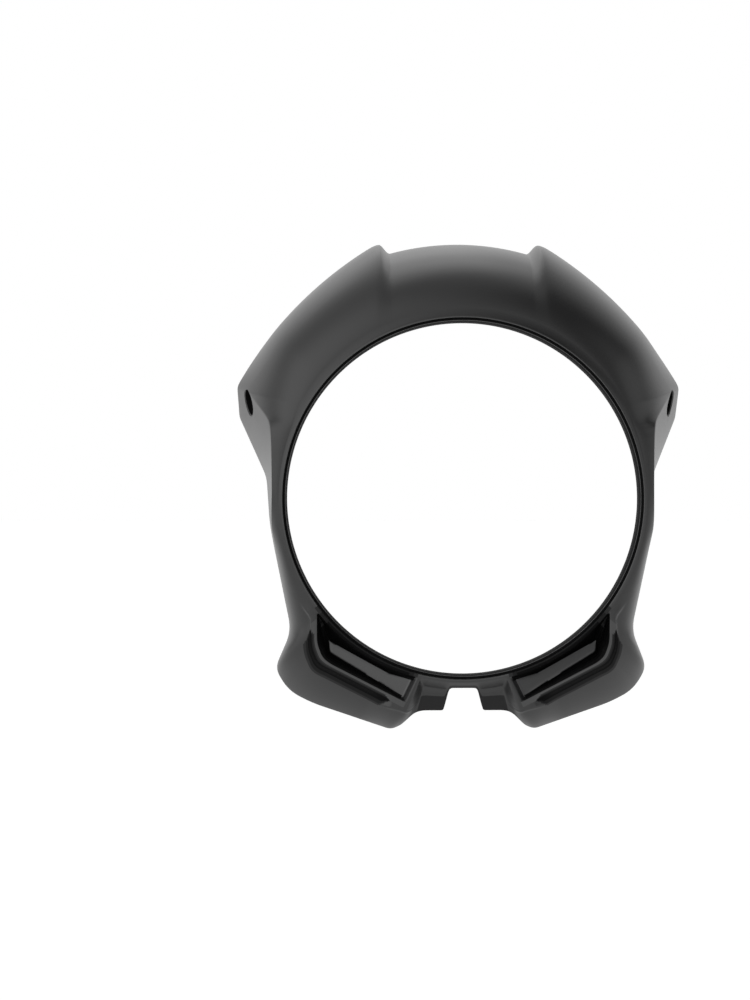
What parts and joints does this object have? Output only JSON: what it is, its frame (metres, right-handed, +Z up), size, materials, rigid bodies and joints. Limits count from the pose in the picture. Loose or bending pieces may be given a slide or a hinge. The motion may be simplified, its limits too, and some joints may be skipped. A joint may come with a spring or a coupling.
{
  "type": "headlight cowl",
  "caption": "One-piece moulded cowl round a headlamp, with a stepped hood above, a narrow strap down each side and two recessed pods with a notched bridge below.",
  "frame": {"origin": "middle of the straight round bore that passes round the lamp, on the lamp's own axis", "axes": "+X to the viewer's right seen from the front, +Y backward along the lamp's axis, +Z up to the hood"},
  "size_m": [0.2402, 0.0762, 0.2605],
  "materials": {
    "shell_plastic": "satin"
  },
  "bodies": {
    "root": {"cowl": "shell_plastic"}
  },
  "joints": []
}
